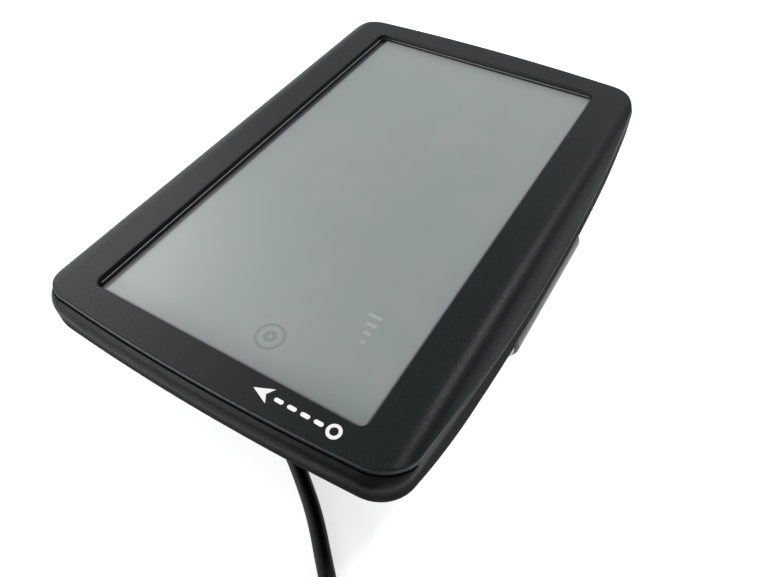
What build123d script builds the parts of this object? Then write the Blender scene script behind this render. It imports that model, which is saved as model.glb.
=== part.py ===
from build123d import *
import math
import os

# Portable satellite navigator with a flush-folding suction mount and its USB lead.
# Millimetres. The navigator lies on its back, screen up: +X runs along the screen to its right,
# +Y towards its top edge, +Z out of the screen. Z = 0 is the surface it lies on.

# ---------------------------------------------------------------- driving dimensions
FACE_Z = 25.0                # front face above the surface
HALF_X, HALF_Y = 65.1, 45.0  # widest half sizes of the rear casing
CORNER_R = 8.0               # plan radius of the casing's corners
END_BOW, SIDE_BOW = 1.8, 2.8  # how far each side bows out between its corners
SHOULDER_R = 4.0             # rounding of the casing up to the bezel
UNDER_R = 4.5                # rounding of the casing's lower edge

RIDGE_Y = 42.7               # where the face and the flank would meet
FLANK_SLOPE = 0.31           # outward run of the bezel's flank per unit of depth
FLANK_DEPTH = 7.2            # depth at which the flank turns vertical
RIDGE_R = 5.2                # round-over from the face to the flank

BEZEL_X, BEZEL_Y = 63.45, 44.9  # half sizes of the bezel's outline
BEZEL_CORNER_R = 8.0
BEZEL_EDGE_R = 0.5
GROOVE = 0.3                 # gap between bezel and casing
PARTING_LOW, PARTING_END = 18.0, 23.6  # height of the arched parting line at the middle and the ends

OPENING_X, OPENING_Y = 112.0, 64.5
OPENING_R = 1.8
LIP_R = 0.3                  # rounding of the face into the opening
BEZEL_T, FACE_T = 2.0, 1.1   # bezel's wall, and its face around the screen

BACK_Z = 8.0                 # flat of the casing's back
BACK_FLAT = 36.0             # half length of that flat
BACK_R = 60.0                # arcs that lift the back towards the short sides
BACK_SWEEP = 23.6            # degrees of that arc
WALL = 1.8                   # casing wall
END_WALL = 3.0               # casing wall at the short sides

# Mount: hinge along the bottom edge, suction head folded into a round well
HINGE_Y, HINGE_Z = -40.7, 10.3
BARREL_R, BARREL_HALF = 4.7, 18.3
NOTCH_HALF = 19.1
PIN_R = 1.25
HEAD_Y = -1.0                # centre of the suction head
WELL_R, WELL_Z = 33.5, 12.3
BELL_R = 30.0
DIAL_R = 32.5
DIAL_LOW, DIAL_TOP = 6.0, 10.8
LIFT = 1.5                   # plunger travel over a quarter turn of the dial
NECK_HALF = 11.5
HUB_Z = 6.4                  # top of the bell's hub, under the dial
GUIDE_R, GUIDE_BORE = 6.0, 4.2
CAM_R, CAM_FLOOR = 8.9, 6.95    # pocket for the ramps inside the dial
PIN_Z = 8.0                  # plunger's cross pin, unlocked
KNURLS = 36

# Display stack, from the face down
GASKET_T = 0.35
TOUCH_T = 1.1
TOUCH_TOP = FACE_Z - FACE_T - GASKET_T
LCD_TOP = TOUCH_TOP - TOUCH_T - 0.15
LCD_T = 3.1
LCD_X, LCD_Y = 119.2, 75.2
TOUCH_X, TOUCH_Y = 117.6, 70.0
CHASSIS_X, CHASSIS_Y = 118.0, 75.4
ACTIVE_X, ACTIVE_Y = 110.9, 62.2
ACTIVE_MID_Y = -0.8          # the lit area sits a little low in the opening
CHASSIS_TOP, CHASSIS_T = 19.2, 0.8

# Main board
BOARD_TOP, BOARD_T = 17.4, 1.0
BOARD_UNDER = BOARD_TOP - BOARD_T
BOARD = (-59.0, 14.0, -33.0, 36.5)   # x and y limits

# Battery and speaker
BATTERY = (19.0, 52.0, -8.0, 36.0, 14.3, 18.1)
SPEAKER_X, SPEAKER_Y, SPEAKER_R = 42.0, -25.0, 10.0
CONE_R = 8.4                 # opening of the speaker's front
GRILLE_PITCH, GRILLE_WIDTH = 2.6, 1.2

# Power button and card slot in the top wall, fastened casing
BUTTON_X, BUTTON_Z = -12.0, 15.2
BUTTON_LONG, BUTTON_HIGH = 10.0, 3.2
CARD_X, CARD_Z = -34.0, 15.5
CASE_SCREWS = [(x, y) for x in (-46.0, 46.0) for y in (-39.5, 39.5)]
SCREW_BOSS_R = 1.7
BOARD_SCREWS = [(-56.0, -30.0), (-56.0, 33.0), (11.0, 34.0), (11.0, -30.0)]
POSTS = [(-34.0, -36.0), (34.0, -36.5), (-22.5, 38.6), (36.0, 38.6)]  # casing posts under the chassis

# USB lead
SOCKET_X, SOCKET_Y = -53.0, 22.0
CORD_D = 3.2
CORD_R = CORD_D / 2
TURN_PITCH = 3.3             # spacing of the coil's turns, beside and on each other
COIL_MID_R = 18.9            # middle of the turns
COIL_TURNS = 9.39
TIE_T = 0.6
COIL_OUT_R = COIL_MID_R + TURN_PITCH * COIL_TURNS / 4
COIL_IN_R = COIL_MID_R - TURN_PITCH * COIL_TURNS / 4
# Route of the lead from the strain relief to the coil
LEAD_ROUTE = [
    (-53.0, 3.0, 3.9),
    (-53.0, -3.0, 3.9),
    (-54.3, -8.3, 3.0),
    (-56.9, -13.2, 2.0),
    (-60.6, -19.0, 1.6),
    (-66.1, -26.4, 1.6),
    (-72.7, -33.1, 1.6),
    (-81.4, -42.4, 1.75),
    (-91.6, -53.9, 2.2),
]
# From the coil's last turn to the host plug
TAIL_ROUTE = [
    (-138.2, -35.5, 5.5),
    (-137.8, -29.6, 5.0),
    (-138.0, -23.8, 4.0),
    (-138.0, -18.0, 4.0),
]


# ---------------------------------------------------------------- helpers
def block(x0, x1, y0, y1, z0, z1):
    """Box between two corners."""
    return Pos((x0 + x1) / 2, (y0 + y1) / 2, (z0 + z1) / 2) * Box(x1 - x0, y1 - y0, z1 - z0)


def disc(radius, z0, z1, x=0.0, y=0.0):
    """Upright cylinder."""
    return Pos(x, y, (z0 + z1) / 2) * Cylinder(radius, z1 - z0)


def tube(outer, inner, z0, z1, x=0.0, y=0.0):
    """Upright ring."""
    return disc(outer, z0, z1, x, y) - disc(inner, z0 - 1, z1 + 1, x, y)


def bar(radius, x0, x1, y, z):
    """Cylinder along X."""
    return Pos((x0 + x1) / 2, y, z) * Rot(0, 90, 0) * Cylinder(radius, x1 - x0)


def plate(size_x, size_y, corner, z0, z1, x=0.0, y=0.0):
    """Flat plate with rounded corners."""
    outline = Pos(x, y, z0) * RectangleRounded(size_x, size_y, corner)
    return extrude(outline, z1 - z0)


def upright_edges(shape):
    return shape.edges().filter_by(Axis.Z)


def bowed_outline(half_x, half_y, corner):
    """Rectangle whose four sides bow gently outward, with rounded corners."""
    cx, cy = half_x - END_BOW, half_y - SIDE_BOW
    sides = [
        ThreePointArc((-cx, -cy), (0, -half_y), (cx, -cy)),
        ThreePointArc((cx, -cy), (half_x, 0), (cx, cy)),
        ThreePointArc((cx, cy), (0, half_y), (-cx, cy)),
        ThreePointArc((-cx, cy), (-half_x, 0), (-cx, -cy)),
    ]
    face = make_face(Curve() + sides)
    return fillet(face.vertices(), corner)


def back_section(inset):
    """Section along X of all that lies above the casing's back: a flat between two rising arcs."""
    reach, top = 80.0, FACE_Z + 10
    centre_z = BACK_Z + BACK_R
    radius = BACK_R - inset
    ends = []
    for share in (0.5, 1.0):
        angle = math.radians(BACK_SWEEP * share)
        ends.append((BACK_FLAT + radius * math.sin(angle), centre_z - radius * math.cos(angle)))
    (mid_x, mid_z), (end_x, end_z) = ends
    far_z = end_z + (reach - end_x) * math.tan(math.radians(BACK_SWEEP))
    flat_z = centre_z - radius
    lines = [
        Line((-BACK_FLAT, flat_z), (BACK_FLAT, flat_z)),
        ThreePointArc((BACK_FLAT, flat_z), (mid_x, mid_z), (end_x, end_z)),
        Polyline((end_x, end_z), (reach, far_z), (reach, top), (-reach, top), (-reach, far_z), (-end_x, end_z)),
        ThreePointArc((-end_x, end_z), (-mid_x, mid_z), (-BACK_FLAT, flat_z)),
    ]
    face = make_face(Curve() + lines)
    return extrude(Plane.XZ * face, 80.0, both=True)


def flank_section(inset, ridge_r=RIDGE_R):
    """Section across Y: flat face, soft ridge, flank that slopes outward, then the upright wall."""
    slant = math.hypot(1, FLANK_SLOPE)
    top_z = FACE_Z - inset
    low_z = FACE_Z - FLANK_DEPTH
    top_y = RIDGE_Y + FLANK_SLOPE * inset - slant * inset
    low_y = RIDGE_Y + FLANK_SLOPE * FLANK_DEPTH - slant * inset
    face = make_face(Polyline(
        (-low_y, -5), (low_y, -5), (low_y, low_z), (top_y, top_z), (-top_y, top_z), (-low_y, low_z),
        (-low_y, -5)))
    turns = [v for v in face.vertices() if abs(v.Y - low_z) < 1e-6]
    face = fillet(turns, 4.0)
    if ridge_r:
        ridges = [v for v in face.vertices() if abs(v.Y - top_z) < 1e-6]
        face = fillet(ridges, ridge_r)
    return extrude(Plane.YZ * face, 80.0, both=True)


def above_parting(offset):
    """Everything over the arched parting surface, moved up by offset."""
    rise, span = PARTING_END - PARTING_LOW, 64.0
    radius = (span**2 + rise**2) / (2 * rise)
    return Pos(0, 0, PARTING_LOW + radius) * Rot(90, 0, 0) * Cylinder(radius - offset, 160.0)


def turned(points, x=0.0, y=0.0):
    """Solid of revolution about an upright axis, from (radius, height) points."""
    face = make_face(Polyline(*points, points[0]))
    return Pos(x, y, 0) * revolve(Plane.XZ * face, Axis.Z)


def lower_edges(body):
    """Edges where the upright sides meet the back."""
    return [
        e for e in body.edges()
        if e.center().Z < 19 and abs(e.tangent_at(0.5).Z) < 0.7
        and not (abs(e.center().Y) < 1 and abs(e.center().X) < 61)
    ]


def lengthwise_slot(long, high, y0, y1, x, z):
    """Stadium seen along Y, between y0 and y1."""
    return Pos(x, y1, z) * Rot(90, 0, 0) * extrude(SlotOverall(long, high), y1 - y0)


# ---------------------------------------------------------------- casings
def front_bezel():
    body = extrude(bowed_outline(BEZEL_X, BEZEL_Y, BEZEL_CORNER_R), FACE_Z) & flank_section(0)
    rim = [e for e in body.edges() if abs(e.center().X) > 63 and e.center().Z > FACE_Z - 0.1]
    body = fillet(rim, BEZEL_EDGE_R) & above_parting(GROOVE / 2)
    inner = bowed_outline(BEZEL_X - BEZEL_T, BEZEL_Y - BEZEL_T, BEZEL_CORNER_R - BEZEL_T)
    body -= extrude(inner, FACE_Z) & flank_section(BEZEL_T, 0)
    body -= plate(TOUCH_X + 0.6, TOUCH_Y + 0.6, 1.5, 15, FACE_Z - FACE_T)
    cut = plate(OPENING_X, OPENING_Y, OPENING_R, 15, FACE_Z + 1)
    body -= cut
    lip = [
        e for e in body.edges()
        if abs(e.center().Z - FACE_Z) < 1e-3 and abs(e.center().X) < 56.5 and abs(e.center().Y) < 33
    ]
    body = fillet(lip, LIP_R)
    for x, y in CASE_SCREWS:
        body += disc(SCREW_BOSS_R, 16.0, FACE_Z - BEZEL_T + 0.4, x, y)
    for x, y in CASE_SCREWS:
        body -= disc(1.02, 15.0, 21.5, x, y)
    return body


def casing_envelope():
    body = extrude(bowed_outline(HALF_X, HALF_Y, CORNER_R), FACE_Z)
    body = fillet(body.edges().group_by(Axis.Z)[-1], SHOULDER_R) & back_section(0)
    body = fillet(lower_edges(body), UNDER_R)
    return body & flank_section(0)


def casing_cavity():
    body = extrude(bowed_outline(HALF_X - END_WALL, HALF_Y - WALL, CORNER_R - WALL), FACE_Z)
    body &= back_section(WALL)
    body = fillet(lower_edges(body), UNDER_R - WALL)
    return body & flank_section(WALL, 0)


def rear_casing():
    envelope = casing_envelope()
    recess = bowed_outline(BEZEL_X + GROOVE, BEZEL_Y + GROOVE, BEZEL_CORNER_R + GROOVE)
    recess = extrude(recess, FACE_Z + 1)
    body = envelope - (recess & above_parting(-GROOVE / 2)) - casing_cavity()
    # bosses, well and hinge housing stand inside the shell
    inside = disc(WELL_R + 1.6, BACK_Z, WELL_Z + 1.5, 0, HEAD_Y)
    inside += block(-25.5, 25.5, -46, -33.9, BACK_Z, 17.1)
    inside += block(-14.5, 14.5, -36, -30, BACK_Z, WELL_Z + 1.5)
    inside += tube(SPEAKER_R + 0.4, CONE_R, BACK_Z, 12.4, SPEAKER_X, SPEAKER_Y)
    for x, y in CASE_SCREWS:
        inside += disc(3.0, BACK_Z, 15.7, x, y)
    for x, y in POSTS:
        inside += disc(1.6, BACK_Z, CHASSIS_TOP - CHASSIS_T, x, y)
    body += inside & envelope
    body -= disc(WELL_R, 0, WELL_Z, 0, HEAD_Y)
    body -= bar(BARREL_R + 0.3, -NOTCH_HALF, NOTCH_HALF, HINGE_Y, HINGE_Z)
    body -= block(-NECK_HALF - 1, NECK_HALF + 1, HINGE_Y + 3, HEAD_Y - WELL_R + 4, 0, WELL_Z)
    body -= bar(PIN_R, -25.0, 25.0, HINGE_Y, HINGE_Z)
    for x, y in CASE_SCREWS:
        body -= disc(2.1, 0, 11.0, x, y) + disc(1.15, 0, 20, x, y)
    for i in range(-2, 3):
        across = GRILLE_PITCH * i
        reach = math.sqrt(7.0**2 - across**2)
        body -= Pos(SPEAKER_X, SPEAKER_Y + across, 0) * extrude(SlotOverall(2 * reach, GRILLE_WIDTH), 13)
    body -= plate(8.8, 4.2, 1.0, 0, 16, SOCKET_X, SOCKET_Y)
    body -= lengthwise_slot(BUTTON_LONG + 0.5, BUTTON_HIGH + 0.5, 40, 47, BUTTON_X, BUTTON_Z)
    body -= block(CARD_X - 6.2, CARD_X + 6.2, 40, 47, CARD_Z - 0.8, CARD_Z + 0.8)
    return body


# ---------------------------------------------------------------- display
def display():
    nodes = {}
    nodes["display_gasket"] = (
        plate(TOUCH_X, TOUCH_Y, 1.2, TOUCH_TOP, TOUCH_TOP + GASKET_T)
        - plate(OPENING_X + 0.6, OPENING_Y + 0.6, OPENING_R, TOUCH_TOP - 1, FACE_Z))
    nodes["touch_panel"] = plate(TOUCH_X, TOUCH_Y, 1.2, TOUCH_TOP - TOUCH_T, TOUCH_TOP)
    low = LCD_TOP - LCD_T
    nodes["lcd_frame"] = (
        plate(LCD_X, LCD_Y, 0.8, low, LCD_TOP)
        - plate(LCD_X - 0.7, LCD_Y - 0.7, 0.5, low + 0.3, LCD_TOP - 0.25)
        - plate(ACTIVE_X, ACTIVE_Y, 0.3, LCD_TOP - 1, LCD_TOP + 1, 0, ACTIVE_MID_Y))
    nodes["backlight_plate"] = plate(LCD_X - 1.2, LCD_Y - 1.2, 0.5, low + 0.3, low + 1.6)
    nodes["lcd_glass"] = plate(LCD_X - 1.6, LCD_Y - 1.6, 0.5, low + 1.65, LCD_TOP - 0.3)
    chassis = plate(CHASSIS_X, CHASSIS_Y, 3.0, CHASSIS_TOP - CHASSIS_T, CHASSIS_TOP)
    for x in (-36.0, -12.0, 36.0):
        chassis -= plate(14.0, 30.0, 3.0, 15, 20, x, 0)
    for x, y in BOARD_SCREWS:
        chassis += disc(2.2, BOARD_TOP, CHASSIS_TOP - CHASSIS_T, x, y)
    for x, y in BOARD_SCREWS:
        chassis -= disc(0.82, 15, 20, x, y)
    nodes["chassis_plate"] = chassis
    nodes["display_ribbon"] = ribbon(-20.0, 18.0, LCD_Y / 2, low + 0.8, 39.3)
    nodes["touch_ribbon"] = ribbon(2.0, 8.0, 35.0, TOUCH_TOP - TOUCH_T + 0.2, 38.7)
    return nodes


def ribbon(x, width, from_y, from_z, round_y):
    """Flat flexible lead from the display's lower edge round the chassis to the board's connector."""
    path = FilletPolyline(
        (x, -from_y, from_z), (x, -round_y, from_z), (x, -round_y, BOARD_TOP + 0.5),
        (x, BOARD[2] + 0.4, BOARD_TOP + 0.5), radius=0.5)
    start = Plane(origin=(x, -from_y, from_z), x_dir=(1, 0, 0), z_dir=(0, -1, 0))
    return sweep(start * Rectangle(width, 0.15), path=path)


# ---------------------------------------------------------------- electronics
def electronics():
    nodes = {}
    x0, x1, y0, y1 = BOARD
    board = block(x0, x1, y0, y1, BOARD_UNDER, BOARD_TOP)
    board = fillet(upright_edges(board), 1.5)
    for x, y in BOARD_SCREWS:
        board -= disc(0.9, 15, 18, x, y)
    nodes["main_board"] = board
    screws = []
    for x, y in BOARD_SCREWS:
        head = fillet(disc(1.7, BOARD_UNDER - 1.0, BOARD_UNDER, x, y).edges().group_by(Axis.Z)[0], 0.4)
        drive = disc(0.7, BOARD_UNDER - 1.2, BOARD_UNDER - 0.5, x, y)
        screws.append(head + disc(0.8, BOARD_UNDER, CHASSIS_TOP - 0.2, x, y) - drive)
    nodes["board_screws"] = Compound(children=screws)
    nodes["processor_chip"] = chip(-14, 0, 14, 14, 1.2)
    nodes["memory_chips"] = Compound(children=[chip(-33, y, 12, 8, 1.0) for y in (5.0, -6.0)])
    can = chip(-17, 20, 16, 14, 2.0)
    nodes["receiver_shield"] = can - block(-24.7, -9.3, 13.3, 26.7, BOARD_UNDER - 1.8, BOARD_UNDER + 1)
    nodes["gps_antenna"] = fillet(upright_edges(chip(3, 24, 15, 15, 2.2)), 0.8)
    coils = [fillet(upright_edges(chip(x, y, 5, 5, 2.0)), 1.0) for x, y in ((-46, -14), (-46, -22))]
    nodes["power_inductors"] = Compound(children=coils)
    nodes["ribbon_connectors"] = Compound(children=[
        block(x - w / 2 - 1, x + w / 2 + 1, y0 + 0.4, y0 + 4.4, BOARD_TOP, BOARD_TOP + 0.95)
        for x, w in ((-20.0, 18.0), (2.0, 8.0))])
    socket = block(CARD_X - 7, CARD_X + 7, 27, 41.2, BOARD_UNDER - 1.45, BOARD_UNDER)
    mouth = block(CARD_X - 5.7, CARD_X + 5.7, 28, 43, CARD_Z - 0.45, CARD_Z + 0.45)
    nodes["card_slot"] = socket - mouth
    switch = block(BUTTON_X - 2.2, BUTTON_X + 2.2, 35.6, 39.4, BOARD_UNDER - 2.3, BOARD_UNDER)
    switch += block(BUTTON_X - 1.1, BUTTON_X + 1.1, 39.4, 40.0, BUTTON_Z - 0.6, BUTTON_Z + 0.6)
    nodes["power_switch"] = switch
    return nodes


def chip(x, y, size_x, size_y, height):
    """Part soldered under the board."""
    return block(x - size_x / 2, x + size_x / 2, y - size_y / 2, y + size_y / 2,
                 BOARD_UNDER - height, BOARD_UNDER)


def usb_socket():
    z0 = 10.6
    shell = plate(7.9, 3.1, 0.9, z0, BOARD_UNDER, SOCKET_X, SOCKET_Y)
    shell -= plate(7.3, 2.5, 0.7, z0 - 1, BOARD_UNDER - 0.4, SOCKET_X, SOCKET_Y)
    tongue = block(SOCKET_X - 2.0, SOCKET_X + 2.0, SOCKET_Y - 0.3, SOCKET_Y + 0.3, z0 + 1, BOARD_UNDER - 0.4)
    return {"usb_receptacle": shell, "usb_receptacle_tongue": tongue}


def battery():
    x0, x1, y0, y1, z0, z1 = BATTERY
    cell = block(x0, x1, y0, y1, z0, z1)
    cell = fillet(cell.edges().filter_by(Axis.Y), 1.5)
    pad = block(x0 + 2, x1 - 2, y0 + 3, y1 - 3, z1, CHASSIS_TOP - CHASSIS_T)
    plug = block(6.0, 13.0, -12.5, -7.5, BOARD_UNDER - 2.2, BOARD_UNDER)
    leads = []
    for step in (0.0, 1.2):
        start_y = 0.6 + step
        path = FilletPolyline(
            (x0, start_y, 16.2), (15.4 + step, start_y, 16.2), (15.4 + step, -9.4 - step, 15.3),
            (13.0, -9.4 - step, 15.3), radius=[1.0, 1.0])
        leads.append(wire_along(path, 0.5))
    return {
        "battery_cell": cell, "battery_pad": pad, "battery_connector": plug,
        "battery_leads": Compound(children=leads)}


def speaker():
    x, y = SPEAKER_X, SPEAKER_Y
    frame = tube(SPEAKER_R, CONE_R, 12.9, 13.6, x, y) + tube(SPEAKER_R, 9.2, 13.6, 15.4, x, y)
    frame += tube(SPEAKER_R, 3.0, 15.4, 16.0, x, y)
    for turn in range(4):
        frame -= Pos(x, y, 15.7) * Rot(0, 0, 45 + 90 * turn) * Pos(6.8, 0, 0) * Cylinder(1.4, 2)
    magnet = fillet(disc(4.6, 16.0, 17.9, x, y).edges().group_by(Axis.Z)[-1], 0.4)
    cone = turned([(8.3, 12.95), (8.3, 13.2), (6.2, 13.3), (3.0, 14.7), (1.6, 14.2), (0, 14.0),
                   (0, 13.7), (1.7, 13.9), (3.0, 14.3), (6.1, 12.95)], x, y)
    leads = []
    for step in (0.0, 1.1):
        path = FilletPolyline(
            (x - SPEAKER_R, y + 1 + step, 14.9), (26.0, y + 1 + step, 15.2),
            (18.0, -19.5 + step, 15.2), (14.0, -19.5 + step, 15.2), radius=[2.0, 2.0])
        leads.append(wire_along(path, 0.4))
    terminal = block(9.0, 14.0, -21.0, -16.9, BOARD_UNDER - 1.8, BOARD_UNDER)
    return {
        "speaker_gasket": tube(9.9, 8.6, 12.4, 12.9, x, y), "speaker_frame": frame,
        "speaker_magnet": magnet, "speaker_cone": cone,
        "speaker_leads": Compound(children=leads), "speaker_connector": terminal}


def wire_along(path, radius):
    """Round wire along a path of runs and arcs."""
    start = Plane(origin=path @ 0, z_dir=path % 0)
    return sweep(start * Circle(radius), path=path)


# ---------------------------------------------------------------- fasteners and button
def casing_screws():
    screws = []
    for x, y in CASE_SCREWS:
        head = disc(1.9, 9.6, 11.0, x, y)
        head = fillet(head.edges().group_by(Axis.Z)[0], 0.5)
        drive = Pos(x, y, 9.0) * extrude(RegularPolygon(0.85, 6), 1.4)
        screws.append(head + disc(1.0, 11.0, 20.5, x, y) - drive)
    return Compound(children=screws)


def power_button():
    proud = HALF_Y + 0.4
    cap = lengthwise_slot(BUTTON_LONG, BUTTON_HIGH, 42.2, proud, BUTTON_X, BUTTON_Z)
    cap = fillet(cap.edges().group_by(Axis.Y)[-1], 0.5)
    flange = lengthwise_slot(BUTTON_LONG + 2.4, BUTTON_HIGH + 1.6, 41.6, 42.6, BUTTON_X, BUTTON_Z)
    stem = block(BUTTON_X - 1.2, BUTTON_X + 1.2, 40.65, 42.0, BUTTON_Z - 0.9, BUTTON_Z + 0.9)
    return cap + flange + stem


# ---------------------------------------------------------------- folding mount
def mount_arm():
    """Hinge barrel, neck and the bell that presses on the cup's rim, moulded in one."""
    barrel = bar(BARREL_R, -BARREL_HALF, BARREL_HALF, HINGE_Y, HINGE_Z)
    barrel = fillet(barrel.edges(), 0.8)
    neck_face = make_face(Polyline(
        (-42.0, 9.5), (-38.3, 5.9), (-34.6, 3.0), (-27.0, 3.0), (-27.0, 5.7), (-34.2, 5.7),
        (-35.9, 8.6), (-38.0, 12.0), (-42.0, 9.5)))
    neck = extrude(Plane.YZ * neck_face, NECK_HALF, both=True) - disc(BELL_R - 2.6, 0, 4.0, 0, HEAD_Y)
    bell = disc(BELL_R, 4.0, 5.7, 0, HEAD_Y) + tube(BELL_R, BELL_R - 2.6, 1.5, 4.0, 0, HEAD_Y)
    bell += disc(11.2, 4.0, HUB_Z, 0, HEAD_Y) + disc(GUIDE_R, HUB_Z, 11.3, 0, HEAD_Y)
    bell -= disc(9.8, 0, 5.2, 0, HEAD_Y) + disc(GUIDE_BORE, 0, 12, 0, HEAD_Y)
    bell -= tube(GUIDE_R + 1, GUIDE_R - 0.4, 10.85, 11.25, 0, HEAD_Y)
    bell -= block(-7, 7, HEAD_Y - 0.95, HEAD_Y + 0.95, PIN_Z - 1.0, PIN_Z + LIFT + 1.0)
    return barrel + neck + bell - bar(PIN_R + 0.05, -BARREL_HALF - 1, BARREL_HALF + 1, HINGE_Y, HINGE_Z)


def lock_dial():
    dial = disc(DIAL_R, DIAL_LOW, DIAL_TOP)
    dial = fillet(dial.edges(), 0.8)
    for i in range(KNURLS):
        dial -= Rot(0, 0, 360 / KNURLS * i) * disc(1.7, 5, 12, DIAL_R + 1.0, 0)
    dial -= tube(29.4, 13.2, 5, 9.2) + disc(11.6, 5, HUB_Z + 0.3)
    dial -= disc(CAM_R, CAM_FLOOR, 12)
    # two ramps lift the plunger's cross pin as the dial turns
    slope = Rot(-math.degrees(math.atan(LIFT / 1.4142 / 7.5)), 0, 0) * Pos(0, 0, -5) * Box(40, 40, 10)
    for turn in (0, 180):
        ramp = block(3.3, 10, -9, 9, CAM_FLOOR - 0.15, 10) & Pos(0, 0, PIN_Z - 0.25) * slope
        dial += Rot(0, 0, turn - 45) * (ramp & disc(CAM_R + 0.5, 6, 10))
    dial -= disc(GUIDE_R + 0.06, 5, 12)
    return Pos(0, HEAD_Y, 0) * dial


def mount_parts():
    nodes = {"mount_arm": mount_arm(), "lock_dial": lock_dial()}
    cap = tube(12.0, 10.6, 10.8, 11.45) + disc(12.0, 11.45, 11.95)
    cap = fillet(cap.edges().group_by(Axis.Z)[-1], 0.4)
    nodes["dial_cap"] = Pos(0, HEAD_Y, 0) * cap
    clip = tube(10.2, GUIDE_R - 0.35, 10.85, 11.25) - block(3, 12, -1.5, 1.5, 10, 12)
    nodes["dial_circlip"] = Pos(0, HEAD_Y, 0) * clip
    stem = disc(9.1, 2.0, 3.2) + disc(GUIDE_BORE - 0.05, 3.2, 9.6) - bar(0.8, -6, 6, 0, PIN_Z)
    nodes["cup_plunger"] = Pos(0, HEAD_Y, 0) * stem
    nodes["plunger_pin"] = bar(0.78, -8.5, 8.5, HEAD_Y, PIN_Z)
    nodes["release_spring"] = turned([(4.7, 3.2), (5.0, 3.2), (8.8, 5.0), (8.8, 5.2), (8.4, 5.2)], 0, HEAD_Y)
    cup = turned([(9.4, 2.0), (20.0, 1.6), (26.5, 0.7), (29.6, 0), (31.0, 0), (31.0, 0.9), (30.3, 1.4),
                  (27.3, 1.5), (24.0, 2.3), (9.4, 3.2)], 0, HEAD_Y)
    tab = block(-4.5, 4.5, 26, 34, 0, 1.2)
    tab = fillet(upright_edges(tab), 2.0) - turned([(0, -1), (30, -1), (30, 3), (0, 3)], 0, HEAD_Y)
    nodes["suction_cup"] = cup + tab
    nodes["hinge_pin"] = bar(PIN_R, -24.5, 24.5, HINGE_Y, HINGE_Z)
    nodes["hinge_washers"] = Compound(children=[
        bar(4.0, x0, x0 + 0.5, HINGE_Y, HINGE_Z) - bar(PIN_R + 0.1, x0 - 1, x0 + 2, HINGE_Y, HINGE_Z)
        for x0 in (-NOTCH_HALF + 0.1, NOTCH_HALF - 0.6)])
    return nodes


# ---------------------------------------------------------------- USB lead
def coil_frame():
    """Centre of the coil and the angle where the lead runs into it, from the route's last run."""
    (x0, y0, _), (x1, y1, _) = LEAD_ROUTE[-2:]
    length = math.hypot(x1 - x0, y1 - y0)
    dx, dy = (x1 - x0) / length, (y1 - y0) / length
    cx, cy = x1 + COIL_OUT_R * dy, y1 - COIL_OUT_R * dx
    return cx, cy, math.atan2(y1 - cy, x1 - cx)


def turn_radii(points):
    """Arc radius at each inner point: 0.45 of the shorter run over the tangent of half the turn."""
    places = [Vector(*p) for p in points]
    radii = []
    for a, b, c in zip(places, places[1:], places[2:]):
        half = math.radians((b - a).get_angle(c - b)) / 2
        radii.append(0.45 * min((b - a).length, (c - b).length) / math.tan(half))
    return radii


def cord_run(name, points):
    radii = turn_radii(points)
    path = FilletPolyline(*points, radius=radii)
    solid = wire_along(path, CORD_R)
    share = solid.volume / (math.pi * CORD_R**2 * path.length)
    print(name, "length", round(path.length, 1), "radii", [round(r, 1) for r in radii],
          "volume over section x length", round(share, 4))
    return solid, path.length


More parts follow.
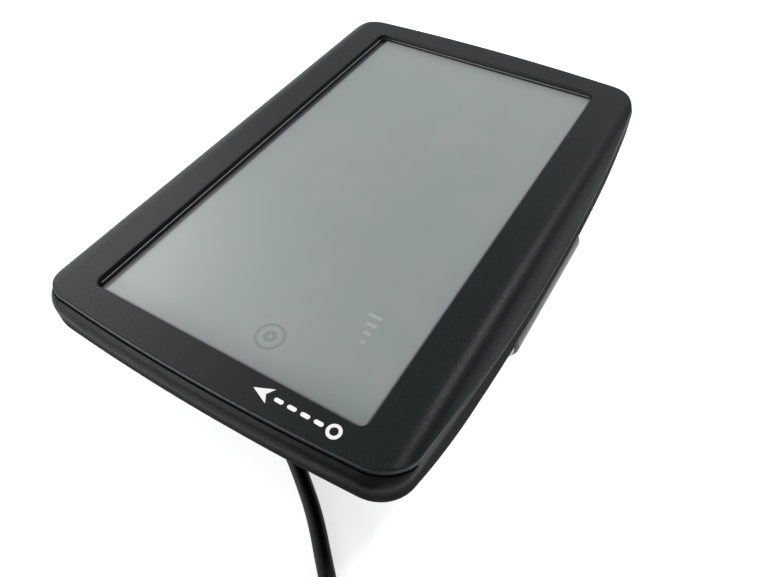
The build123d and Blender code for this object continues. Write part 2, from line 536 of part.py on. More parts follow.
def usb_lead():
    nodes = {}
    # angled device plug, its shell up into the receptacle
    x, y = SOCKET_X, SOCKET_Y
    body = block(x - 5.2, x + 5.2, y - 9.0, y + 6.0, 1.6, 8.2)
    nodes["device_plug_body"] = fillet(body.edges(), 1.4)
    shell = plate(6.85, 1.8, 0.8, 8.2, 15.6, x, y) - plate(6.35, 1.3, 0.5, 9.2, 17, x, y)
    nodes["device_plug_shell"] = shell
    nodes["device_plug_relief"] = relief(LEAD_ROUTE[0], 10.0, 2.9)
    nodes["cord_lead"], lead = cord_run("cord_lead", LEAD_ROUTE)
    nodes["cord_tail"], tail = cord_run("cord_tail", TAIL_ROUTE)
    cx, cy, angle = coil_frame()
    ring = tube(COIL_OUT_R + CORD_R, COIL_IN_R - CORD_R, TIE_T, TIE_T + CORD_D + TURN_PITCH, cx, cy)
    nodes["cord_coil"] = fillet(ring.edges(), 1.5)
    coiled = 2 * math.pi * COIL_MID_R * COIL_TURNS
    out = angle - 2 * math.pi * COIL_TURNS
    print("coil exit", round(cx + COIL_OUT_R * math.cos(out), 1), round(cy + COIL_OUT_R * math.sin(out), 1))
    print("coil centre", round(cx, 1), round(cy, 1), "turns", COIL_TURNS, "length", round(coiled, 1),
          "whole lead", round(lead + tail + coiled, 1))
    wide, high = COIL_OUT_R - COIL_IN_R + CORD_D + 1.2, CORD_D + TURN_PITCH
    band = block(-wide / 2 - TIE_T, wide / 2 + TIE_T, -3, 3, 0, high + 2 * TIE_T)
    band = fillet(band.edges().filter_by(Axis.Y), 1.2)
    band -= block(-wide / 2, wide / 2, -4, 4, TIE_T, TIE_T + high)
    nodes["coil_tie"] = Pos(cx, cy, 0) * Rot(0, 0, 60) * Pos(COIL_MID_R, 0, 0) * band
    # host plug, flat beside the coil
    hx, hy, hz = TAIL_ROUTE[-1]
    nodes["host_plug_relief"] = relief((hx, hy + 10.0, hz), 10.0, CORD_R + 0.4, 3.0)
    body = block(hx - 8.0, hx + 8.0, hy + 10.0, hy + 37.0, 0, 2 * hz)
    body = fillet(body.edges().filter_by(Axis.Y), 2.5)
    nodes["host_plug_body"] = fillet(body.edges().filter_by(Axis.Y, reverse=True), 1.0)
    front = hy + 49.0
    shell = block(hx - 6.0, hx + 6.0, hy + 37.0, front, hz - 2.25, hz + 2.25)
    nodes["host_plug_shell"] = shell - block(hx - 5.7, hx + 5.7, hy + 38.0, front + 1, hz - 1.95, hz + 1.95)
    insert = block(hx - 5.7, hx + 5.7, hy + 38.0, front - 0.4, hz - 1.95, hz - 0.1)
    nodes["host_plug_insert"] = insert
    return nodes


def relief(end, length, wide_r, narrow_r=None):
    """Tapered strain relief along Y; with narrow_r it widens towards the end point instead."""
    x, y, z = end
    if narrow_r:
        return Pos(x, y - length / 2, z) * Rot(-90, 0, 0) * Cone(wide_r, narrow_r, length)
    return Pos(x, y + length / 2, z) * Rot(-90, 0, 0) * Cone(CORD_R + 0.4, wide_r, length)


# ---------------------------------------------------------------- export
def build():
    nodes = {"front_bezel": front_bezel(), "rear_casing": rear_casing()}
    for group in (display, electronics, usb_socket, battery, speaker, mount_parts, usb_lead):
        nodes.update(group())
    nodes["casing_screws"] = casing_screws()
    nodes["power_button"] = power_button()
    return nodes


NODES = build()
os.makedirs("parts", exist_ok=True)
for name, shape in NODES.items():
    export_step(shape, f"parts/{name}.step")
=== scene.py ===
import bpy
import bmesh
import math
from mathutils import Matrix, Vector


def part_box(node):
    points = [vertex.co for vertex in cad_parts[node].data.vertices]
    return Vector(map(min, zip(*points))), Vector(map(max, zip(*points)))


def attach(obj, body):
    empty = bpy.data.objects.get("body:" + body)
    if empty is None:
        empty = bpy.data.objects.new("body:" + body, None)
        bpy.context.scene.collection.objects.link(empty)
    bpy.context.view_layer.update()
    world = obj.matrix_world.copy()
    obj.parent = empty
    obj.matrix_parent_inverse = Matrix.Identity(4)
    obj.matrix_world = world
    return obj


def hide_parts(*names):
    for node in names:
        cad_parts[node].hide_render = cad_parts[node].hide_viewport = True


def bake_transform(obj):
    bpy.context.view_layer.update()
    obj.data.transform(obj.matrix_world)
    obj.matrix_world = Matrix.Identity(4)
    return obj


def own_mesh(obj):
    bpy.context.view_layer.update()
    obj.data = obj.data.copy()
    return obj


# Looks of a portable navigator that lies on its back, with its USB lead. Metres, in the part's frame.
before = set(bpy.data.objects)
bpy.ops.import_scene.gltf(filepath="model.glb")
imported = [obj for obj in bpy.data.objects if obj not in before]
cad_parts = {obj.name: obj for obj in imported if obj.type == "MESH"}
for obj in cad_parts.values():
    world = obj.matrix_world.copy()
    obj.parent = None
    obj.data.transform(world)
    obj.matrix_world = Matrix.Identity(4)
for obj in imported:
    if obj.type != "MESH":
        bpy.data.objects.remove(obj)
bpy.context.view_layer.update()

MM = 0.001
FACE_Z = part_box("front_bezel")[1].z
SCREEN_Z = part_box("touch_panel")[1].z
ACTIVE_X, ACTIVE_Y = 110.9 * MM, 62.2 * MM   # lit area of the display
ACTIVE_MID_Y = -0.8 * MM
CORD_R = 1.6 * MM
HEAD_Y = -1.0 * MM                           # centre of the suction head
LATHE_STEPS, RING_STEPS = 56, 40             # facets round a turned piece and round a printed ring
SHARP_ANGLE = math.radians(38)               # edges steeper than this aren't shaded smooth
WHITE, BLACK = (1, 1, 1, 1), (0, 0, 0, 1)


# ---------------------------------------------------------------- camera
def make_camera():
    """Close view from above the left end, tilted so that the long sides run up to the right."""
    place = Vector((-98.17, -64.50, 123.11)) * MM
    forward = Vector((0.54413, 0.35166, -0.76175)).normalized()
    roughly_up = Vector((0.66003, 0.38110, 0.64740))
    right = forward.cross(roughly_up).normalized()
    turn = Matrix((right, right.cross(forward), -forward)).transposed()
    data = bpy.data.cameras.new("camera")
    data.sensor_width = 36.0
    data.lens = 30.63
    data.clip_start = 0.005
    camera = bpy.data.objects.new("camera", data)
    bpy.context.scene.collection.objects.link(camera)
    camera.matrix_world = Matrix.Translation(place) @ turn.to_4x4()
    bpy.context.scene.camera = camera


# ---------------------------------------------------------------- shader helpers
def srgb(r, g, b):
    """Linear colour of an sRGB colour given in 0 to 255."""
    def linear(v):
        v /= 255
        return v / 12.92 if v <= 0.04045 else ((v + 0.055) / 1.055) ** 2.4
    return (linear(r), linear(g), linear(b), 1.0)


def scaled(colour, factor):
    """The colour made brighter or darker by a factor."""
    return tuple(min(1.0, c * factor) for c in colour[:3]) + (1.0,)


class Shader:
    """A node material built round one Principled shader, in the object's own coordinates."""

    def __init__(self, name, **constants):
        self.material = bpy.data.materials.new(name)
        self.material.use_nodes = True
        self.tree = self.material.node_tree
        self.tree.nodes.clear()
        self.out = self.node("ShaderNodeOutputMaterial")
        self.bsdf = self.node("ShaderNodeBsdfPrincipled")
        self.link(self.bsdf.outputs["BSDF"], self.out.inputs["Surface"])
        self.place = self.node("ShaderNodeTexCoord").outputs["Object"]
        for socket, value in constants.items():
            self.bsdf.inputs[socket.replace("_", " ")].default_value = value

    def node(self, kind, **settings):
        """New node of a kind, with its own settings."""
        made = self.tree.nodes.new(kind)
        for key, value in settings.items():
            setattr(made, key, value)
        return made

    def link(self, source, target):
        self.tree.links.new(source, target)

    def noise(self, size, detail=3.0, rough=0.55, place=None):
        """Noise whose features are about size metres wide."""
        made = self.node("ShaderNodeTexNoise")
        made.inputs["Scale"].default_value = 1 / size
        made.inputs["Detail"].default_value = detail
        made.inputs["Roughness"].default_value = rough
        self.link(place or self.place, made.inputs["Vector"])
        return made.outputs["Fac"]

    def spots(self, size):
        """Distance from scattered points about size metres apart."""
        made = self.node("ShaderNodeTexVoronoi")
        made.inputs["Scale"].default_value = 1 / size
        self.link(self.place, made.inputs["Vector"])
        return made.outputs["Distance"]

    def ramp(self, source, low, high, at=(0.0, 1.0)):
        """Colour between low and high as the source goes between the two stops."""
        made = self.node("ShaderNodeValToRGB")
        made.color_ramp.elements[0].position, made.color_ramp.elements[1].position = at
        made.color_ramp.elements[0].color = low
        made.color_ramp.elements[1].color = high
        self.link(source, made.inputs["Fac"])
        return made.outputs["Color"]

    def span(self, source, from_low, from_high, to_low, to_high):
        """The source moved from one range to another, and held at its ends."""
        made = self.node("ShaderNodeMapRange")
        values = (from_low, from_high, to_low, to_high)
        for socket, value in zip(("From Min", "From Max", "To Min", "To Max"), values):
            made.inputs[socket].default_value = value
        self.link(source, made.inputs["Value"])
        return made.outputs["Result"]

    def maths(self, operation, a, b=None):
        """One sum on numbers or sockets."""
        made = self.node("ShaderNodeMath", operation=operation)
        for socket, value in zip(made.inputs, (a, b)):
            if isinstance(value, (int, float)):
                socket.default_value = value
            elif value is not None:
                self.link(value, socket)
        return made.outputs["Value"]

    def mix(self, factor, a, b):
        """Colour a, turning to colour b as the factor goes from 0 to 1."""
        made = self.node("ShaderNodeMix", data_type="RGBA")
        factor_in, a_in, b_in = made.inputs[0], made.inputs[6], made.inputs[7]   # the colour sockets
        for socket, value in ((factor_in, factor), (a_in, a), (b_in, b)):
            if isinstance(value, (int, float, tuple)):
                socket.default_value = value
            else:
                self.link(value, socket)
        return made.outputs[2]

    def axis(self, index):
        """The object's own x, y or z, in metres."""
        made = self.node("ShaderNodeSeparateXYZ")
        self.link(self.place, made.inputs["Vector"])
        return made.outputs[index]

    def bump(self, height, depth, strength=1.0, under=None):
        """Normal of a relief that is depth metres deep, on top of another one if given."""
        made = self.node("ShaderNodeBump")
        made.inputs["Strength"].default_value = strength
        made.inputs["Distance"].default_value = depth
        self.link(height, made.inputs["Height"])
        if under:
            self.link(under, made.inputs["Normal"])
        return made.outputs["Normal"]

    def colour(self, source):
        self.link(source, self.bsdf.inputs["Base Color"])

    def roughness(self, source):
        self.link(source, self.bsdf.inputs["Roughness"])

    def normal(self, source):
        self.link(source, self.bsdf.inputs["Normal"])


def moulded(name, colour, rough, grain=0.25 * MM, depth=0.012 * MM, spread=0.25, coat=0.0, level=0.5):
    """Moulded plastic or rubber: a fine grain over a faint broad mottle."""
    s = Shader(name, Coat_Weight=coat, Coat_Roughness=0.25, Specular_IOR_Level=level)
    broad = s.noise(9 * MM, 4.0)
    fine = s.noise(grain, 2.0, 0.6)
    tone = s.maths("ADD", s.maths("MULTIPLY", broad, 0.6), s.maths("MULTIPLY", fine, 0.4))
    s.colour(s.ramp(tone, scaled(colour, 1 - spread), scaled(colour, 1 + spread), (0.3, 0.7)))
    s.roughness(s.span(tone, 0.3, 0.7, rough - 0.06, rough + 0.06))
    s.normal(s.bump(fine, depth, 0.6, s.bump(broad, 0.02 * MM, 0.25)))
    return s.material


def soft_touch(name, colour):
    """Rubbery paint with a painted sparkle: tiny bright grains in its colour stand in for glints, clearest
    where light grazes an edge.
    """
    s = Shader(name, Specular_IOR_Level=0.29)
    cell = s.spots(0.38 * MM)
    fine = s.noise(0.3 * MM, 2.0, 0.6)
    broad = s.noise(14 * MM, 4.0)
    # painted sparkle: bright grains painted into the colour, standing in for glints off the paint's grain
    painted_sparkle = s.ramp(cell, scaled(colour, 2.3), scaled(colour, 0.9), (0.08, 0.30))
    tinted = s.mix(0.35, painted_sparkle, s.ramp(broad, scaled(colour, 0.75), scaled(colour, 1.25), (0.3, 0.7)))
    dust = s.ramp(s.spots(8 * MM), WHITE, BLACK, (0.012, 0.022))
    s.colour(s.mix(s.maths("MULTIPLY", dust, 0.3), tinted, srgb(170, 175, 172)))
    # the steep flank is duller than the face
    flank = s.span(s.maths("ABSOLUTE", s.axis(1)), 42.4 * MM, 43.8 * MM, 0, 0.30)
    s.roughness(s.maths("ADD", s.span(fine, 0.25, 0.75, 0.31, 0.50), flank))
    s.normal(s.bump(fine, 0.06 * MM, 0.7))
    return s.material


def casing(name, colour):
    """Grained black plastic, shinier on the shoulder than on the lower wall and the back."""
    s = Shader(name, Specular_IOR_Level=0.07)
    fine = s.noise(0.3 * MM, 2.0, 0.6)
    broad = s.noise(9 * MM, 4.0)
    s.colour(s.ramp(broad, scaled(colour, 0.75), scaled(colour, 1.25), (0.3, 0.7)))
    lower_wall = s.span(s.axis(2), 21.6 * MM, 18.5 * MM, 0, 0.42)
    s.roughness(s.maths("ADD", s.span(fine, 0.3, 0.7, 0.30, 0.42), lower_wall))
    s.normal(s.bump(fine, 0.06 * MM, 0.7))
    return s.material


def metal(name, colour, rough, streak=(1.0, 1.0, 1.0)):
    """Plated or turned metal, its grain stretched along one axis by the streak factors."""
    s = Shader(name, Metallic=1.0)
    stretch = s.node("ShaderNodeMapping")
    stretch.inputs["Scale"].default_value = streak
    s.link(s.place, stretch.inputs["Vector"])
    fine = s.noise(0.4 * MM, 4.0, 0.7, stretch.outputs["Vector"])
    broad = s.noise(6 * MM, 3.0)
    s.colour(s.ramp(broad, scaled(colour, 0.85), scaled(colour, 1.05), (0.3, 0.7)))
    s.roughness(s.span(fine, 0.3, 0.7, rough - 0.08, rough + 0.1))
    s.normal(s.bump(fine, 0.004 * MM, 0.5))
    return s.material


def display_surface():
    """Hazy touch panel over an unlit display: grey inside the active area, black mask round it."""
    s = Shader("display_surface", Specular_IOR_Level=0.55, Coat_Weight=0.7, Coat_Roughness=0.34)
    x, y = s.axis(0), s.axis(1)
    edge_x = s.maths("SUBTRACT", ACTIVE_X / 2, s.maths("ABSOLUTE", x))
    edge_y = s.maths("SUBTRACT", ACTIVE_Y / 2, s.maths("ABSOLUTE", s.maths("SUBTRACT", y, ACTIVE_MID_Y)))
    inside = s.maths("MINIMUM", edge_x, edge_y)
    haze = s.noise(28 * MM, 3.0, 0.5)
    smear = s.noise(7 * MM, 5.0, 0.65)
    film = s.ramp(haze, srgb(152, 162, 161), srgb(162, 164, 165), (0.35, 0.65))
    film = s.mix(0.25, film, s.ramp(smear, srgb(152, 161, 163), srgb(158, 165, 164), (0.4, 0.62)))
    # painted reflection: the film is painted lighter towards the top left corner, where it reflects more
    # light
    corner = s.maths("SUBTRACT", s.maths("DIVIDE", y, ACTIVE_Y), s.maths("DIVIDE", x, ACTIVE_X))
    film = s.mix(s.span(corner, 0.66, 1.02, 0, 0.55), film, srgb(194, 196, 195))
    # violet rim where the polariser ends, then the mask
    rim = s.ramp(s.span(inside, 0, 0.9 * MM, 0, 1), WHITE, BLACK)
    film = s.mix(s.maths("MULTIPLY", rim, 0.4), film, srgb(158, 155, 176))
    lit = s.ramp(s.span(inside, -0.15 * MM, 0.45 * MM, 0, 1), BLACK, WHITE)
    masked = s.mix(lit, srgb(9, 11, 22), film)
    # dust: a few small pale specks
    dust = s.ramp(s.spots(5.5 * MM), WHITE, BLACK, (0.018, 0.03))
    s.colour(s.mix(s.maths("MULTIPLY", dust, 0.35), masked, srgb(200, 205, 205)))
    s.roughness(s.span(smear, 0.3, 0.7, 0.36, 0.46))
    s.normal(s.bump(s.noise(0.12 * MM, 2.0, 0.6), 0.004 * MM, 0.3))
    return s.material


def printed(name, colour, rough=0.5, glow=0.0):
    """Pad-printed ink with a slightly uneven film."""
    s = Shader(name, Specular_IOR_Level=0.4)
    film = s.noise(0.5 * MM, 4.0, 0.7)
    s.colour(s.ramp(film, scaled(colour, 0.88), colour, (0.25, 0.6)))
    s.roughness(s.span(film, 0.3, 0.7, rough - 0.05, rough + 0.1))
    s.normal(s.bump(film, 0.006 * MM, 0.4))
    s.bsdf.inputs["Emission Color"].default_value = colour
    s.bsdf.inputs["Emission Strength"].default_value = glow
    return s.material


def board_surface():
    """Green solder mask with copper tracks that show through it."""
    s = Shader("board_surface", Specular_IOR_Level=0.5, Coat_Weight=0.4, Coat_Roughness=0.12)
    brick = s.node("ShaderNodeTexBrick")
    for socket, value in (("Scale", 260.0), ("Mortar Size", 0.03), ("Color1", srgb(16, 84, 48)),
                          ("Color2", srgb(20, 96, 54)), ("Mortar", srgb(44, 132, 74))):
        brick.inputs[socket].default_value = value
    s.link(s.place, brick.inputs["Vector"])
    s.colour(s.mix(s.noise(3 * MM, 3.0), brick.outputs["Color"], srgb(14, 74, 44)))
    s.roughness(s.span(s.noise(0.6 * MM), 0.3, 0.7, 0.3, 0.42))
    s.normal(s.bump(brick.outputs["Fac"], 0.02 * MM, 0.5))
    return s.material


def antenna_ceramic():
    """Pale fired ceramic of the antenna."""
    s = Shader("antenna_ceramic", Specular_IOR_Level=0.5)
    grain = s.noise(0.4 * MM, 4.0, 0.6)
    s.colour(s.ramp(grain, srgb(196, 184, 158), srgb(222, 212, 190), (0.3, 0.7)))
    s.roughness(s.span(grain, 0.3, 0.7, 0.45, 0.65))
    s.normal(s.bump(grain, 0.01 * MM, 0.5))
    return s.material


# ---------------------------------------------------------------- mesh helpers
def link_mesh(name, mesh, material, body):
    """Object that rides on a body, or on none yet if body is None."""
    piece = bpy.data.objects.new(name, mesh)
    bpy.context.scene.collection.objects.link(piece)
    mesh.materials.append(material)
    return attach(piece, body) if body else piece


def solid_mesh(name, build, material, body, smooth=True):
    """Piece made of the faces that build(bm) adds, all turned outward."""
    bm = bmesh.new()
    build(bm)
    bmesh.ops.recalc_face_normals(bm, faces=bm.faces)
    mesh = bpy.data.meshes.new(name)
    bm.to_mesh(mesh)
    bm.free()
    piece = link_mesh(name, mesh, material, body)
    if smooth:
        mesh.shade_smooth()
        mesh.set_sharp_from_angle(angle=SHARP_ANGLE)
    return piece


def join_rings(bm, rings):
    """Faces between each ring of points and the next, and from the last to the first."""
    for k, ring in enumerate(rings):
        following = rings[(k + 1) % len(rings)]
        for i in range(len(ring)):
            j = (i + 1) % len(ring)
            bm.faces.new((ring[i], ring[j], following[j], following[i]))


def lathe(name, profile, origin, axis, material, body):
    """Closed solid of revolution: (radius, distance along the axis) points turned about it."""
    along = Vector(axis).normalized()
    side = along.orthogonal().normalized()
    across = along.cross(side)

    def build(bm):
        rings = []
        for k in range(LATHE_STEPS):
            angle = 2 * math.pi * k / LATHE_STEPS
            out = side * math.cos(angle) + across * math.sin(angle)
            rings.append([bm.verts.new(Vector(origin) + out * r + along * d) for r, d in profile])
        join_rings(bm, rings)
        bmesh.ops.remove_doubles(bm, verts=bm.verts, dist=1e-7)

    return solid_mesh(name, build, material, body)


def swept(name, points, radius, facets, material, kind="POLY"):
    """Curve through the points that carries a round bar of this radius, closed at its ends."""
    data = bpy.data.curves.new(name, "CURVE")
    data.dimensions = "3D"
    data.bevel_depth = radius
    data.bevel_resolution = facets
    data.use_fill_caps = True
    line = data.splines.new(kind)
    line.points.add(len(points) - 1)
    for point, place in zip(line.points, points):
        point.co = (*place, 1.0)
    bar = bpy.data.objects.new(name, data)
    bpy.context.scene.collection.objects.link(bar)
    data.materials.append(material)
    return bar


def prism(bm, outline, z0, z1):
    """Upright prism on an outline of (x, y) points."""
    low = [bm.verts.new((x, y, z0)) for x, y in outline]
    high = [bm.verts.new((x, y, z1)) for x, y in outline]
    bm.faces.new(low)
    bm.faces.new(high)
    for i in range(len(outline)):
        j = (i + 1) % len(outline)
        bm.faces.new((low[i], low[j], high[j], high[i]))


def ring_prism(bm, x, y, outer, inner, z0, z1):
    """Flat ring about the point (x, y), between two radii and two heights."""
    corners = ((outer, z0), (outer, z1), (inner, z1), (inner, z0))
    rings = []
    for k in range(RING_STEPS):
        angle = 2 * math.pi * k / RING_STEPS
        c, s = math.cos(angle), math.sin(angle)
        rings.append([bm.verts.new((x + r * c, y + r * s, z)) for r, z in corners])
    join_rings(bm, rings)


def rounded_bar(cx, cy, half_x, half_y, steps=6):
    """Outline of a bar with fully rounded ends along its longer side."""
    r = min(half_x, half_y)
    points = []
    for corner, (sx, sy) in enumerate(((1, 1), (-1, 1), (-1, -1), (1, -1))):
        for k in range(steps + 1):
            angle = math.radians(90 * corner + 90 * k / steps)
            points.append((cx + sx * (half_x - r) + r * math.cos(angle),
                           cy + sy * (half_y - r) + r * math.sin(angle)))
    return points


# ---------------------------------------------------------------- the lead
LEAD_ROUTE = [
    (-53.0, 3.0, 3.9),
    (-53.0, -3.0, 3.9),
    (-54.3, -8.3, 3.0),
    (-56.9, -13.2, 2.0),
    (-60.6, -19.0, 1.6),
    (-66.1, -26.4, 1.6),
    (-72.7, -33.1, 1.6),
    (-81.4, -42.4, 1.75),
    (-91.6, -53.9, 2.2),
]
TAIL_ROUTE = [
    (-138.2, -35.5, 5.5),
    (-137.8, -29.6, 5.0),
    (-138.0, -23.8, 4.0),
    (-138.0, -18.0, 4.0),
]
COIL_MID_R, COIL_TURNS, TURN_PITCH = 18.9, 9.39, 3.3
LOW_ROW_Z, HIGH_ROW_Z = 2.2, 5.5
POINTS_A_TURN = 16
CLIMB_TURNS = 0.5      # the inmost part of the coil, over which it rises to the upper row
EASE_POINTS = 3        # control points over which a row blends into the straight run beside it


def coil_points():
    """Bottom row wound inward, then the row on it wound outward, as control points in millimetres."""
    (x0, y0, _), (x1, y1, _) = LEAD_ROUTE[-2:]
    run = math.hypot(x1 - x0, y1 - y0)
    dx, dy = (x1 - x0) / run, (y1 - y0) / run
    outer = COIL_MID_R + TURN_PITCH * COIL_TURNS / 4
    cx, cy = x1 + outer * dy, y1 - outer * dx
    start = math.atan2(y1 - cy, x1 - cx)
    # the curve cuts inside its control points, so they stand further out by this factor
    reach = 1 / (0.75 + 0.25 * math.cos(2 * math.pi / POINTS_A_TURN))
    count = round(COIL_TURNS * POINTS_A_TURN)
    points = []
    half = COIL_TURNS / 2
    for k in range(1, count):
        turn = COIL_TURNS * k / count
        radius = outer - TURN_PITCH * min(turn, COIL_TURNS - turn)
        climb = min(1.0, max(0.0, (turn - half) / CLIMB_TURNS + 0.5))
        z = LOW_ROW_Z + (HIGH_ROW_Z - LOW_ROW_Z) * climb * climb * (3 - 2 * climb)
        angle = start - 2 * math.pi * turn
        ease = min(1.0, k / EASE_POINTS, (count - k) / EASE_POINTS)
        grown = radius * (1 + (reach - 1) * ease)
        points.append((cx + grown * math.cos(angle), cy + grown * math.sin(angle), z))
    return points


def make_cord(material):
    """The whole lead as one smooth curve, from the device's strain relief to the host plug's."""
    route = [Vector(place) * MM for place in LEAD_ROUTE + coil_points() + TAIL_ROUTE]
    cord = swept("usb_cord", route, CORD_R, 6, material, "NURBS")
    cord.data.resolution_u = 8
    cord.data.splines[0].order_u = 3
    cord.data.splines[0].use_endpoint_u = True
    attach(cord, "device")
    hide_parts("cord_lead", "cord_tail", "cord_coil")
    return cord


def make_relief(name, node, wide_end, direction, wide_r, material):
    """Tapered strain relief with ring grooves, widest at the plug."""
    length, narrow_r, bore_r = 10 * MM, CORD_R + 0.4 * MM, CORD_R * 0.9
    grooves, groove_depth, plain_end = 5, 0.42 * MM, 0.6
    # a groove's two walls and floor, as shares of the stretch that it takes
    groove = ((0.30, 0), (0.38, groove_depth), (0.68, groove_depth), (0.76, 0))
    profile = [(bore_r, 0), (wide_r, 0)]
    for g in range(grooves):
        for share, drop in groove:
            at = (g + share) / (grooves + plain_end)
            profile.append((wide_r + (narrow_r - wide_r) * at - drop, at * length))
    profile += [(narrow_r, 0.97 * length), (narrow_r - 0.3 * MM, length), (bore_r, length)]
    relief = lathe(name, profile, wide_end, direction, material, "device")
    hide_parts(node)
    return relief


def make_plug_grip(material):
    """Raised finger ribs across the top of the host plug."""
    low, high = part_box("host_plug_body")
    mid = (low + high) / 2
    pitch, half_length, half_width = 2.4 * MM, 4.6 * MM, 0.5 * MM
    sunk, proud = 0.2 * MM, 0.25 * MM

    def build(bm):
        for step in range(-2, 3):
            outline = rounded_bar(mid.x, mid.y + step * pitch, half_length, half_width)
            prism(bm, outline, high.z - sunk, high.z + proud)

    grip = solid_mesh("host_plug_grip", build, material, "device")
    return grip


# ---------------------------------------------------------------- marks on the face
def make_route_mark(material):
    """Plain white pictogram on the left bezel: a place ring, a dashed route and a heading arrow."""
    x, ring_y, first_dash_y, tip_y = -59.0 * MM, -28.2 * MM, -25.1 * MM, -11.1 * MM
    dashes, dash_pitch = 4, 2.8 * MM
    arrow = [(0.0, 0.0), (-1.6, -3.8), (0.0, -2.8), (1.6, -3.8)]
    z0, z1 = FACE_Z - 0.02 * MM, FACE_Z + 0.02 * MM

    def build(bm):
        ring_prism(bm, x, ring_y, 1.45 * MM, 0.8 * MM, z0, z1)
        for step in range(dashes):
            prism(bm, rounded_bar(x, first_dash_y + step * dash_pitch, 0.42 * MM, 0.95 * MM), z0, z1)
        prism(bm, [(x + dx * MM, tip_y + dy * MM) for dx, dy in arrow], z0, z1)

    mark = solid_mesh("route_mark", build, material, "device", smooth=False)


def make_ghost_bars(material):
    """Faint bars of rising height that linger on the unlit display."""
    z0, z1 = SCREEN_Z - 0.01 * MM, SCREEN_Z + 0.008 * MM
    first_x, foot_y, pitch = -40.3 * MM, -22.4 * MM, 2.1 * MM
    bars, shortest, rise = 4, 0.55 * MM, 0.35 * MM

    def build(bm):
        for step in range(bars):
            half = shortest + step * rise
            prism(bm, rounded_bar(first_x + step * pitch, foot_y + half, 0.4 * MM, half, 3), z0, z1)

    ghost = solid_mesh("ghost_bars", build, material, "device", smooth=False)


def make_ghost_ring(material):
    """Faint round button that lingers on the unlit display."""
    x, y = -48 * MM, -6 * MM
    z0, z1 = SCREEN_Z - 0.01 * MM, SCREEN_Z + 0.006 * MM

    def build(bm):
        ring_prism(bm, x, y, 3.1 * MM, 2.5 * MM, z0, z1)
        ring_prism(bm, x, y, 1.3 * MM, 0.5 * MM, z0, z1)

    ring = solid_mesh("ghost_button", build, material, "device", smooth=False)


# ---------------------------------------------------------------- small parts
def make_return_spring(material):
    """Dished spring over the cup's core, as it rests before the dial draws the core up and presses it flat.
    """
    profile = [(4.7, 3.26), (5.0, 3.26), (8.8, 5.0), (8.8, 5.2), (8.4, 5.2)]
    spring = lathe("return_spring", [(r * MM, z * MM) for r, z in profile],
                   (0, HEAD_Y, 0), (0, 0, 1), material, "mount")
    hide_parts("release_spring")
    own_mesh(spring)


def make_cup_skin(material):
    """Thin skin of the cup, across the gap round its core, shown at rest: in use the outer rim stays and
    the inner one lifts.
    """
    profile = [(11.5, 1.86), (9.40, 1.88), (9.12, 1.955), (8.0, 1.955),
               (8.0, 1.995), (9.12, 1.995), (9.40, 1.92), (11.5, 1.90)]
    skin = lathe("cup_skin", [(r * MM, z * MM) for r, z in profile],
                 (0, HEAD_Y, 0), (0, 0, 1), material, None)
    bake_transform(skin)


def make_seam_bead(material):
    """Raised edge of the casing where it meets the bezel along the bottom side, coloured lighter than the
    casing: a painted highlight for the light line along the seam.
    """
    half_length, steps = 56 * MM, 48
    # the parting line is an arc in side view, lowest at the middle
    lowest, rise, half_span = 18 * MM, 5.6 * MM, 64 * MM
    arc_r = (half_span**2 + rise**2) / (2 * rise)
    # the bezel's section: a sloping flank, and above it the round-over to the face
    ridge_y, slope = 42.7 * MM, 0.31
    round_y, round_r, round_depth = 38.87 * MM, 5.2 * MM, 3.65 * MM
    # the casing's outline in plan bows outward
    widest, bow, bow_half = 44.9 * MM, 2.8 * MM, 61.65 * MM
    points = []
    for k in range(steps + 1):
        x = half_length * (2 * k / steps - 1)
        z = lowest + arc_r - math.sqrt(arc_r**2 - x**2)
        deep = FACE_Z - z
        flank = ridge_y + slope * deep
        if deep < round_depth:
            flank = round_y + math.sqrt(round_r**2 - (round_r - deep) ** 2)
        outline = widest - bow * (x / bow_half) ** 2
        points.append((x, -min(flank, outline), z))
    bead = swept("seam_bead", points, 0.16 * MM, 3, material)
    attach(bead, "device")


def make_foot_line(material):
    """Pale edge of the gasket that shows at the foot of the opening's top wall."""
    half_length, y, z = 54.6 * MM, 32.22 * MM, SCREEN_Z + 0.08 * MM
    edge = swept("foot_line", [(-half_length, y, z), (half_length, y, z)], 0.09 * MM, 2, material)
    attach(edge, "device")


# ---------------------------------------------------------------- stage
def make_floor():
    """White table, lit from below round the device and dimmer further out."""
    half = 3.0
    mesh = bpy.data.meshes.new("floor")
    corners = [(-half, -half, 0), (half, -half, 0), (half, half, 0), (-half, half, 0)]
    mesh.from_pydata(corners, [], [(0, 1, 2, 3)])
    floor = bpy.data.objects.new("floor", mesh)
    bpy.context.scene.collection.objects.link(floor)
    floor.location.z = -0.05 * MM
    s = Shader("floor_white", Roughness=0.9, Specular_IOR_Level=0.0)
    s.colour(s.ramp(s.noise(0.4), (0.90, 0.90, 0.90, 1), (0.92, 0.92, 0.92, 1)))
    s.bsdf.inputs["Emission Color"].default_value = WHITE
    reach = s.node("ShaderNodeVectorMath", operation="LENGTH")
    s.link(s.place, reach.inputs[0])
    round_device = s.span(reach.outputs["Value"], 0.20, 1.2, 0.70, 0.50)
    past_front = s.span(s.axis(1), -0.10, -0.30, 1.0, 0.3)
    s.link(s.maths("MULTIPLY", round_device, past_front), s.bsdf.inputs["Emission Strength"])
    mesh.materials.append(s.material)


def soft_light(name, place, target, size, power):
    """White rectangular lamp that faces a target."""
    data = bpy.data.lights.new(name, "AREA")
    data.shape = "RECTANGLE"
    data.size, data.size_y = size
    data.energy = power
    light = bpy.data.objects.new(name, data)
    bpy.context.scene.collection.objects.link(light)
    light.location = place
    aim = Vector(target) - Vector(place)
    light.rotation_euler = aim.to_track_quat("-Z", "Y").to_euler()


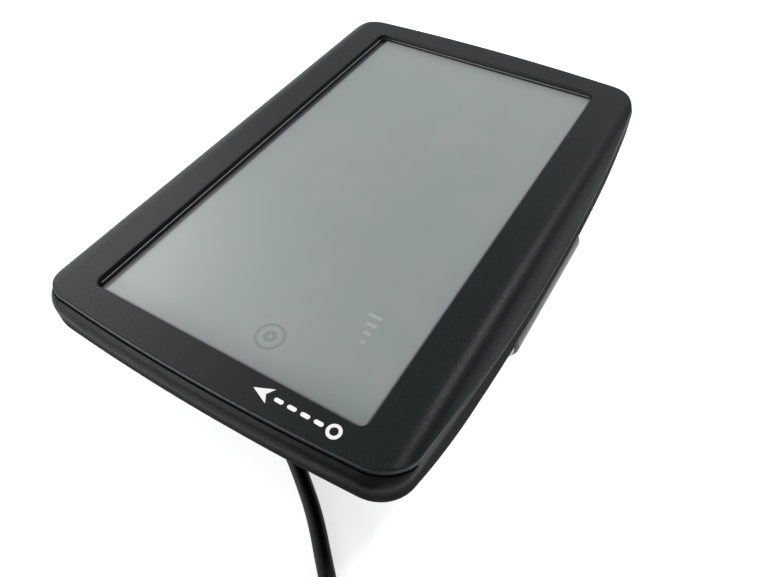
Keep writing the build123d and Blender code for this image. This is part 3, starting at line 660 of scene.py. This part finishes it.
def make_world():
    """Pale room: brightest a little above the horizon, dark overhead and on one side."""
    world = bpy.data.worlds.new("pale_room")
    bpy.context.scene.world = world
    world.use_nodes = True
    nodes, links = world.node_tree.nodes, world.node_tree.links
    toward = nodes.new("ShaderNodeTexCoord").outputs["Generated"]
    split = nodes.new("ShaderNodeSeparateXYZ")
    links.new(toward, split.inputs[0])
    ramp = nodes.new("ShaderNodeValToRGB")
    stops = ((0.0, 0.80), (0.25, 0.95), (0.50, 0.80), (0.70, 0.20), (0.95, 0.05))
    while len(ramp.color_ramp.elements) < len(stops):
        ramp.color_ramp.elements.new(0.5)
    for element, (height, level) in zip(ramp.color_ramp.elements, stops):
        element.position = height
        element.color = (level * 0.98, level, level * 1.01, 1)
    links.new(split.outputs["Z"], ramp.inputs["Fac"])
    dark_side = nodes.new("ShaderNodeVectorMath")
    dark_side.operation = "DOT_PRODUCT"
    dark_side.inputs[1].default_value = (0.50, -0.87, 0.0)
    links.new(toward, dark_side.inputs[0])
    fade = nodes.new("ShaderNodeMapRange")
    for socket, value in zip(("From Min", "From Max", "To Min", "To Max"), (0.45, 0.80, 1.0, 0.25)):
        fade.inputs[socket].default_value = value
    links.new(dark_side.outputs["Value"], fade.inputs["Value"])
    background = nodes["Background"]
    links.new(ramp.outputs["Color"], background.inputs["Color"])
    links.new(fade.outputs["Result"], background.inputs["Strength"])


# ---------------------------------------------------------------- materials by CAD node
def node_materials():
    """The CAD nodes that keep their shape, by material."""
    jacket = moulded("cord_jacket", srgb(3, 3, 4), 0.45, 0.5 * MM, 0.01 * MM, level=0.2)
    mould = moulded("connector_plastic", srgb(44, 44, 45), 0.45)
    sheet = metal("plated_sheet", srgb(186, 188, 186), 0.3, (1.0, 12.0, 1.0))
    steel = metal("turned_steel", srgb(176, 177, 176), 0.28, (9.0, 1.0, 1.0))
    foam = moulded("black_foam", srgb(36, 36, 37), 0.85, 0.3 * MM, 0.06 * MM)
    resin = moulded("chip_resin", srgb(34, 34, 37), 0.5, 0.2 * MM)
    amber = moulded("amber_film", srgb(186, 112, 34), 0.3, 1.0 * MM, 0.004 * MM, 0.12, 0.3)
    wire = moulded("wire_cover", srgb(150, 24, 24), 0.4, 0.8 * MM, 0.004 * MM)
    groups = {
        soft_touch("soft_touch_black", srgb(21, 27, 27)): ["front_bezel"],
        casing("casing_black", srgb(9, 9, 10)): [
            "rear_casing", "power_button", "dial_cap"],
        moulded("mount_black", srgb(46, 46, 45), 0.3, 0.6 * MM, 0.008 * MM, 0.15, 0.15): [
            "mount_arm", "lock_dial", "cup_plunger"],
        moulded("cup_rubber", srgb(40, 40, 42), 0.38, 1.6 * MM, 0.006 * MM, 0.15): ["suction_cup"],
        moulded("plug_black", srgb(30, 30, 31), 0.5, 0.2 * MM, 0.02 * MM): [
            "device_plug_body", "host_plug_body"],
        mould: ["usb_receptacle_tongue", "battery_connector", "ribbon_connectors",
                "speaker_connector", "power_switch"],
        moulded("host_insert", srgb(228, 228, 224), 0.4, 0.6 * MM, 0.006 * MM, 0.05): ["host_plug_insert"],
        moulded("strap_black", srgb(38, 38, 38), 0.7, 0.25 * MM, 0.05 * MM): ["coil_tie"],
        display_surface(): ["touch_panel"],
        moulded("panel_glass", srgb(70, 80, 82), 0.2, 2 * MM, 0.002 * MM, 0.1): [
            "lcd_glass", "backlight_plate"],
        sheet: ["lcd_frame", "chassis_plate", "receiver_shield", "card_slot", "usb_receptacle",
                "device_plug_shell", "host_plug_shell"],
        steel: ["hinge_pin", "plunger_pin", "release_spring", "dial_circlip", "hinge_washers",
                "speaker_frame", "speaker_magnet"],
        metal("black_oxide", srgb(62, 62, 64), 0.4): ["casing_screws", "board_screws"],
        moulded("gasket_grey", srgb(150, 150, 150), 0.5, 0.3 * MM, 0.02 * MM): ["display_gasket"],
        foam: ["battery_pad", "speaker_gasket"],
        board_surface(): ["main_board"],
        amber: ["display_ribbon", "touch_ribbon"],
        resin: ["processor_chip", "memory_chips", "power_inductors"],
        antenna_ceramic(): ["gps_antenna"],
        moulded("pouch_foil", srgb(150, 153, 156), 0.35, 1.2 * MM, 0.03 * MM): ["battery_cell"],
        wire: ["battery_leads", "speaker_leads"],
        moulded("cone_paper", srgb(46, 45, 44), 0.85, 0.3 * MM, 0.05 * MM): ["speaker_cone"],
    }
    for material, names in groups.items():
        for name in names:
            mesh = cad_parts[name].data
            mesh.materials.clear()
            mesh.materials.append(material)
    return jacket


# ---------------------------------------------------------------- build
make_camera()
cord_jacket = node_materials()
cord = make_cord(cord_jacket)
device_relief = make_relief(
    "device_relief", "device_plug_relief", (-53 * MM, 13 * MM, 3.9 * MM), (0, -1, 0), 2.9 * MM, cord_jacket)
host_relief = make_relief(
    "host_relief", "host_plug_relief", (-138 * MM, -8 * MM, 4.0 * MM), (0, -1, 0), 3.0 * MM, cord_jacket)
grip = make_plug_grip(bpy.data.materials["plug_black"])
make_route_mark(printed("white_ink", srgb(248, 249, 249), glow=0.2))
make_ghost_bars(printed("ghost_pale", srgb(184, 189, 188), 0.42))
make_ghost_ring(printed("ghost_dim", srgb(147, 157, 156), 0.42))
make_return_spring(bpy.data.materials["turned_steel"])
make_cup_skin(bpy.data.materials["cup_rubber"])
# painted highlight: the bead is coloured lighter than the casing to show the light line along the seam
make_seam_bead(moulded("seam_highlight", srgb(78, 78, 76), 0.4, 0.5 * MM, 0.01 * MM))
make_foot_line(moulded("gasket_edge", srgb(205, 205, 205), 0.5, 0.5 * MM, 0.01 * MM, 0.1))
make_floor()
make_world()
soft_light("window_light", (0.25, 1.00, 0.85), (0, 0, 0), (0.9, 0.7), 5.6)
soft_light("ridge_light", (0.45, -0.30, 0.75), (0, 0, 0), (0.20, 0.20), 2.2)
soft_light("side_light", (-0.88, 0.56, 0.20), (0, 0, 0.02), (0.55, 0.34), 7.0)
bpy.context.scene.view_settings.view_transform = "Standard"
